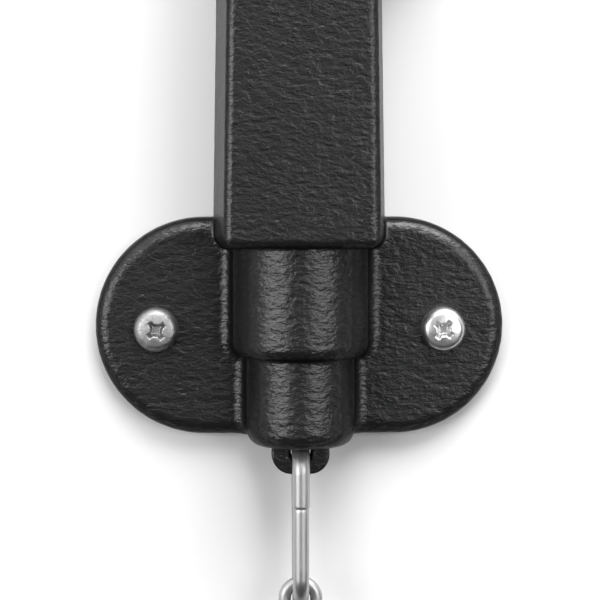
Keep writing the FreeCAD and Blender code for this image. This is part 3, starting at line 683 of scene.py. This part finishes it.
def face_plate_field(x, y, z):
    """A flat plate with the bolt's window and two countersunk screw holes."""
    low, high = FACE_BOX
    outline = rounded_meet(slab(y, low[1], high[1]), slab(z, low[2], high[2]), FACE_CORNER)
    solid = rounded_meet(outline, x - high[0], FACE_EDGE)
    solid = np.maximum(solid, low[0] - x)
    solid = rounded_meet(solid, -beside_bolt(y, z), FACE_WINDOW_EDGE)
    for way in (-1, 1):
        reach = np.hypot(y + ROD_LINE, z - BOLT_LEVEL - way * SEAT_SCREWS)
        solid = np.maximum(solid, FACE_HOLE + np.maximum(x - high[0] + FACE_SINK, 0) - reach)
    return solid


def bolt_and_plate(bolt_material, plate_material):
    """The bevelled bolt, and the face plate that it comes out through."""
    jobs = (
        ("bolt_body", "latch_bolt", "latch_bolt",
         bolt_field, BOLT_BOX, bolt_material, "bar_steel"),
        ("bolt_plate", "bolt_face_plate", "housing",
         face_plate_field, FACE_BOX, plate_material, "plate_steel"))
    for name, node, body, field, box, material, slot in jobs:
        points, _, faces = field_mesh(field, *box, grid_step(0.25))
        piece = new_mesh(name, points, faces)
        piece.data.materials.append(material)
        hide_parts(node)
        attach(piece, body)


# ---- materials ----

class Nodes:
    """A material's node tree with short ways to add and join nodes."""

    def __init__(self, name):
        self.material = bpy.data.materials.new(name)
        self.material.use_nodes = True
        self.tree = self.material.node_tree
        self.shader = self.tree.nodes["Principled BSDF"]

    def add(self, kind, settings=None, **inputs):
        node = self.tree.nodes.new(kind)
        for key, value in (settings or {}).items():
            setattr(node, key, value)
        for key, value in inputs.items():
            self.put(node, key.replace("_", " "), value)
        return node

    def put(self, node, key, value):
        socket = node.inputs[int(key)] if key.isdigit() else node.inputs[key]
        if isinstance(value, bpy.types.NodeSocket):
            self.tree.links.new(value, socket)
        else:
            socket.default_value = value

    def math(self, operation, first, second=0.0):
        node = self.tree.nodes.new("ShaderNodeMath")
        node.operation = operation
        for index, value in enumerate((first, second)):
            self.put(node, str(index), value)
        return node.outputs[0]

    def place(self, scale):
        """Object coordinates in metres, times a scale along each axis."""
        where = self.tree.nodes.new("ShaderNodeTexCoord")
        return self.add("ShaderNodeMapping", Vector=where.outputs["Object"], Scale=scale).outputs[0]

    def noise(self, scale, detail=2.0, roughness=0.5, stretch=(1, 1, 1), distortion=0.0):
        node = self.add("ShaderNodeTexNoise", Vector=self.place(stretch), Scale=scale, Detail=detail,
                        Roughness=roughness, Distortion=distortion)
        return node.outputs["Fac"]

    def span(self, value, low, high, start=0.0, end=1.0):
        """A value from start to end, carried to low to high and held there."""
        node = self.add("ShaderNodeMapRange", Value=value, From_Min=start, From_Max=end,
                        To_Min=low, To_Max=high)
        return node.outputs[0]

    def blend(self, factor, first, second):
        node = self.tree.nodes.new("ShaderNodeMix")
        node.data_type = "RGBA"
        self.put(node, "0", factor)
        for key, value in (("6", first), ("7", second)):
            self.put(node, key, value)
        return node.outputs[2]

    def bump(self, height, strength, distance, normal=None):
        node = self.add("ShaderNodeBump", Height=height, Strength=strength, Distance=distance)
        if normal is not None:
            self.put(node, "Normal", normal)
        return node.outputs[0]

    def attribute(self, name):
        return self.add("ShaderNodeAttribute", {"attribute_name": name}).outputs["Fac"]


def grained_plastic():
    """Black moulded plastic with a grain of short low bumps, longer across than tall."""
    n = Nodes("grained_black_plastic")
    grained = n.attribute("grained")
    warp = n.add("ShaderNodeTexNoise", Vector=n.place((1, 1, 1.6)), Scale=700.0, Detail=2.0)
    sway = n.add("ShaderNodeVectorMath", {"operation": "SCALE"}, Vector=warp.outputs["Color"],
                 Scale=0.0005)
    where = n.add("ShaderNodeTexCoord")
    moved = n.add("ShaderNodeVectorMath", {"operation": "ADD"})
    n.put(moved, "0", where.outputs["Object"])
    n.put(moved, "1", sway.outputs[0])
    scaled = n.add("ShaderNodeMapping", Vector=moved.outputs[0], Scale=(0.87, 0.87, 1.75))
    cells = n.add("ShaderNodeTexVoronoi", {"feature": "SMOOTH_F1"}, Vector=scaled.outputs[0], Scale=640.0,
                  Smoothness=0.8, Randomness=1.0)
    broad = n.noise(580.0, 3.0, 0.6, (0.87, 0.87, 1.55))
    fine = n.noise(2200.0, 3.0, 0.6, (1, 1, 1.4))
    # hills with a web of low ridges in them and a fine tooth; 8% of it is left on plain faces
    pits = n.math("MULTIPLY", cells.outputs["Distance"], 0.22)
    hills = n.math("SUBTRACT", n.math("MULTIPLY", broad, 1.4), pits)
    height = n.math("ADD", hills, n.math("MULTIPLY", fine, 0.11))
    height = n.math("MULTIPLY", height, n.math("ADD", n.math("MULTIPLY", grained, 0.92), 0.08))
    speck = n.noise(5200.0, 2.0, 0.5)
    first = n.bump(height, 1.0, 0.00023)
    n.put(n.shader, "Normal", n.bump(speck, 0.25, 0.00002, first))
    tone = n.noise(60.0, 3.0, 0.6)
    n.put(n.shader, "Base Color", n.blend(tone, (0.0055, 0.0055, 0.0058, 1), (0.009, 0.009, 0.0094, 1)))
    n.put(n.shader, "Roughness", n.span(n.noise(180.0, 4.0, 0.6), 0.28, 0.37))
    # faces seen at a slant shine less, so that the sides are darker than the front
    away = n.add("ShaderNodeLayerWeight", Blend=0.5).outputs["Facing"]
    n.put(n.shader, "Specular IOR Level", n.span(away, 0.58, 0.07, 0.18, 0.38))
    return n.material


def smooth_plastic(name, dark, light, rough):
    """Plain moulded plastic with fine texture and faint flow marks."""
    n = Nodes(name)
    n.put(n.shader, "Base Color", n.blend(n.noise(90.0, 3.0), dark, light))
    n.put(n.shader, "Roughness", n.span(n.noise(400.0, 3.0), rough - 0.06, rough + 0.08))
    n.put(n.shader, "Normal", n.bump(n.noise(3500.0, 3.0, 0.6), 0.3, 0.00004))
    return n.material


def metal_nodes(name, dark, light, rough, stretch=(1, 1, 1), scratch=0.00002, dirt=0.0):
    """Metal with fine lines along one way, faint scratches and dull patches; returns its Nodes."""
    n = Nodes(name)
    patches = n.noise(220.0, 4.0, 0.6, distortion=0.6)
    n.put(n.shader, "Base Color", n.blend(patches, dark, light))
    n.shader.inputs["Metallic"].default_value = 1.0
    lines = n.noise(1500.0, 4.0, 0.65, stretch)
    dull = n.span(patches, -0.05 - dirt, 0.08 + dirt, 0.3, 0.7)
    lined = n.math("ADD", dull, n.math("MULTIPLY", lines, 0.10))
    n.put(n.shader, "Roughness", n.math("ADD", lined, rough))
    scuffs = n.noise(640.0, 5.0, 0.7, (1.0, 1.0, 3.0), distortion=1.4)
    height = n.math("ADD", lines, n.math("MULTIPLY", scuffs, 0.8))
    n.put(n.shader, "Normal", n.bump(height, 0.5, scratch))
    return n


def metal(*settings):
    """The material of metal_nodes."""
    return metal_nodes(*settings).material


def zinc_screw(name, dark, light, rough, scratch, dirt):
    """Grey zinc, with painted shade darkening it in the cross recess."""
    greys = ((grey, grey, grey, 1) for grey in (dark, light))
    n = metal_nodes(name, *greys, rough, (1, 1, 1), scratch, dirt)
    recess_shade = n.attribute("recess")
    plain = n.shader.inputs["Base Color"].links[0].from_socket
    # painted shade: the recess mask blends the colour a quarter of the way towards dark grey
    n.put(n.shader, "Base Color", n.blend(n.math("MULTIPLY", recess_shade, 0.25), plain, (0.30, 0.30, 0.30, 1)))
    return n.material


def carried_over(materials):
    """CAD pieces whose shape is already right get their finish in their own slots."""
    for node, material in materials.items():
        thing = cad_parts[node]
        for slot in thing.material_slots:
            slot.material = material


# ---- stage, camera and light ----

# the wall, in millimetres: its opening follows the housing's outline, a little inside it
WALL_BEHIND = 0.35
WALL_REACH = 1200.0
WALL_CENTRE = 20.0          # the middle of the opening and of the wall's round edge
WALL_INSET = 2.0
WALL_SIDES = 360
WALL_OUTLINE = -1.0         # the y where that outline is taken
WALL_SEARCH = (5.0, 200.0)  # the outline's edge lies between these reaches from the middle
WALL_HALVINGS = 20
WALL_WHITE = 0.77
# the room's brightness at eye level and overhead
ROOM_LEVEL = 0.043
ROOM_TOP = 1.4
ROOM_FADE = (0.15, 0.85)    # heights of a level-to-overhead direction, 0 to 1, where it changes
# the softboxes, in metres: name, turn, lift, distance, size and radiance
LIT_POINT = Vector((0, -0.01, 0.01))
SOFTBOXES = (
    ("softbox_left", -46, 4, 0.75, (0.56, 0.30), 6.6),
    ("softbox_right", 35, 4, 0.80, (0.54, 0.30), 5.0),
    ("softbox_top", 25, 58, 0.80, (0.75, 0.45), 9.5),
    ("softbox_back", 150, 30, 0.90, (0.80, 0.80), 5.0))
# the camera, in metres and degrees
CAMERA_TARGET = Vector((0.0, -0.008, 0.0065))
CAMERA_DISTANCE = 0.9
CAMERA_LIFT = 5.0
CAMERA_TURN = -1.5
FRAME_WIDTH = 0.1277        # what the picture shows at the target
SENSOR_WIDTH = 36.0


def wall():
    """A white wall just behind the plate, seen only from its front and open behind the latch."""
    count = WALL_SIDES
    angles = np.arange(count) * 2 * math.pi / count
    across, up = np.cos(angles), np.sin(angles)
    hidden, seen = (np.full(count, reach) for reach in WALL_SEARCH)
    for _ in range(WALL_HALVINGS):
        middle = (hidden + seen) / 2
        level = WALL_CENTRE + middle * up
        inside = housing_outside(middle * across, np.full(count, WALL_OUTLINE), level) < 0
        hidden, seen = np.where(inside, middle, hidden), np.where(inside, seen, middle)
    corners = []
    for reach in (hidden - WALL_INSET, np.full(count, WALL_REACH)):
        corners += [(r * x, WALL_BEHIND, WALL_CENTRE + r * z) for r, x, z in zip(reach, across, up)]
    faces = [(n, (n + 1) % count, count + (n + 1) % count, count + n) for n in range(count)]
    board = new_mesh("wall_board", corners, [face[::-1] for face in faces], smooth=False)
    n = Nodes("white_wall")
    n.shader.inputs["Base Color"].default_value = (WALL_WHITE, WALL_WHITE, WALL_WHITE, 1)
    n.shader.inputs["Roughness"].default_value = 0.9
    n.put(n.shader, "Normal", n.bump(n.noise(300.0, 3.0), 0.05, 0.0002))
    facing = n.add("ShaderNodeNewGeometry")
    clear = n.add("ShaderNodeBsdfTransparent")
    mix = n.add("ShaderNodeMixShader")
    n.put(mix, "0", facing.outputs["Backfacing"])
    n.put(mix, "1", n.shader.outputs[0])
    n.put(mix, "2", clear.outputs[0])
    n.put(n.tree.nodes["Material Output"], "Surface", mix.outputs[0])
    board.data.materials.append(n.material)


def area_light(name, turn, lift, distance, size, radiance):
    """A softbox aimed at the flange: turn to the right and lift over the level, in degrees."""
    data = bpy.data.lights.new(name, "AREA")
    data.shape = "RECTANGLE"
    data.size, data.size_y = size
    data.energy = radiance * math.pi * size[0] * size[1]
    lamp = bpy.data.objects.new(name, data)
    across, up = math.radians(turn), math.radians(lift)
    way = Vector((math.sin(across) * math.cos(up), -math.cos(across) * math.cos(up), math.sin(up)))
    lamp.location = LIT_POINT + distance * way
    lamp.rotation_euler = (-way).to_track_quat("-Z", "Y").to_euler()
    bpy.context.scene.collection.objects.link(lamp)


def room():
    """A pale ceiling over dim walls: bright overhead, fading towards eye level."""
    world = bpy.data.worlds.new("pale_room")
    world.use_nodes = True
    tree = world.node_tree
    where = tree.nodes.new("ShaderNodeTexCoord")
    split = tree.nodes.new("ShaderNodeSeparateXYZ")
    fade = tree.nodes.new("ShaderNodeMapRange")
    fade.interpolation_type = "SMOOTHSTEP"
    fade.inputs["From Min"].default_value, fade.inputs["From Max"].default_value = ROOM_FADE
    fade.inputs["To Min"].default_value = ROOM_LEVEL
    fade.inputs["To Max"].default_value = ROOM_TOP
    background = tree.nodes["Background"]
    background.inputs["Color"].default_value = (1, 1, 1, 1)
    tree.links.new(where.outputs["Generated"], split.inputs[0])
    tree.links.new(split.outputs["Z"], fade.inputs["Value"])
    tree.links.new(fade.outputs[0], background.inputs["Strength"])
    bpy.context.scene.world = world


def camera():
    """A camera far off in front, so that the picture is nearly flat."""
    data = bpy.data.cameras.new("camera")
    data.sensor_width = SENSOR_WIDTH
    data.lens = data.sensor_width * CAMERA_DISTANCE / FRAME_WIDTH
    data.clip_start = 0.01
    eye = bpy.data.objects.new("camera", data)
    lift, turn = math.radians(CAMERA_LIFT), math.radians(CAMERA_TURN)
    way = Vector((math.sin(turn) * math.cos(lift), -math.cos(turn) * math.cos(lift), math.sin(lift)))
    eye.location = CAMERA_TARGET + CAMERA_DISTANCE * way
    eye.rotation_euler = (CAMERA_TARGET - eye.location).to_track_quat("-Z", "Y").to_euler()
    bpy.context.scene.collection.objects.link(eye)
    bpy.context.scene.camera = eye


def main():
    """Makes the materials, the pieces and the stage."""
    black = grained_plastic()
    cover = smooth_plastic("cover_black", (0.02, 0.02, 0.021, 1), (0.032, 0.032, 0.034, 1), 0.5)
    nylon = smooth_plastic("natural_nylon", (0.70, 0.67, 0.58, 1), (0.80, 0.78, 0.70, 1), 0.42)
    rubber = smooth_plastic("black_rubber", (0.012, 0.012, 0.012, 1), (0.03, 0.03, 0.03, 1), 0.75)
    bar = metal("drawn_bar", (0.40, 0.40, 0.41, 1), (0.62, 0.62, 0.63, 1), 0.24, (0.1, 1, 1))
    rod = metal("drawn_rod", (0.40, 0.40, 0.41, 1), (0.62, 0.62, 0.63, 1), 0.24, (1, 1, 0.08))
    sheet = metal("brushed_sheet", (0.42, 0.42, 0.42, 1), (0.66, 0.66, 0.66, 1), 0.28, (1, 1, 0.06))
    coil = metal("oiled_wire", (0.20, 0.20, 0.21, 1), (0.40, 0.40, 0.42, 1), 0.26)
    wire = metal("satin_wire", (0.40, 0.40, 0.40, 1), (0.52, 0.52, 0.52, 1), 0.38, (1, 1, 0.12), 0.00001)
    dull_screw = zinc_screw("scuffed_zinc", 0.26, 0.50, 0.40, 0.00016, 0.10)
    bright_screw = zinc_screw("bright_zinc", 0.62, 0.84, 0.30, 0.00002, 0.0)
    latch_housing(black)
    pull_eye(black)
    mounting_screws({"left": dull_screw, "right": bright_screw, "top": bright_screw})
    chain(wire)
    pull_ring(wire)
    return_spring(coil)
    bolt_and_plate(bar, sheet)
    carried_over({
        "back_cover": cover, "cover_screws": bright_screw, "face_plate_screws": bright_screw,
        "bolt_guide": nylon, "rod_guide_bush": nylon, "upper_rod_guide": nylon, "end_stop_bumper": rubber,
        "spring_seat_washer": sheet, "pull_rod": rod, "cam_plate": sheet, "cam_plate_pin": bar,
        "spring_collar": bar, "spring_clip": coil, "eye_pin": bar, "bolt_cross_pin": bar})
    wall()
    for softbox in SOFTBOXES:
        area_light(*softbox)
    room()
    camera()
    bpy.context.scene.view_settings.view_transform = "Standard"


main()
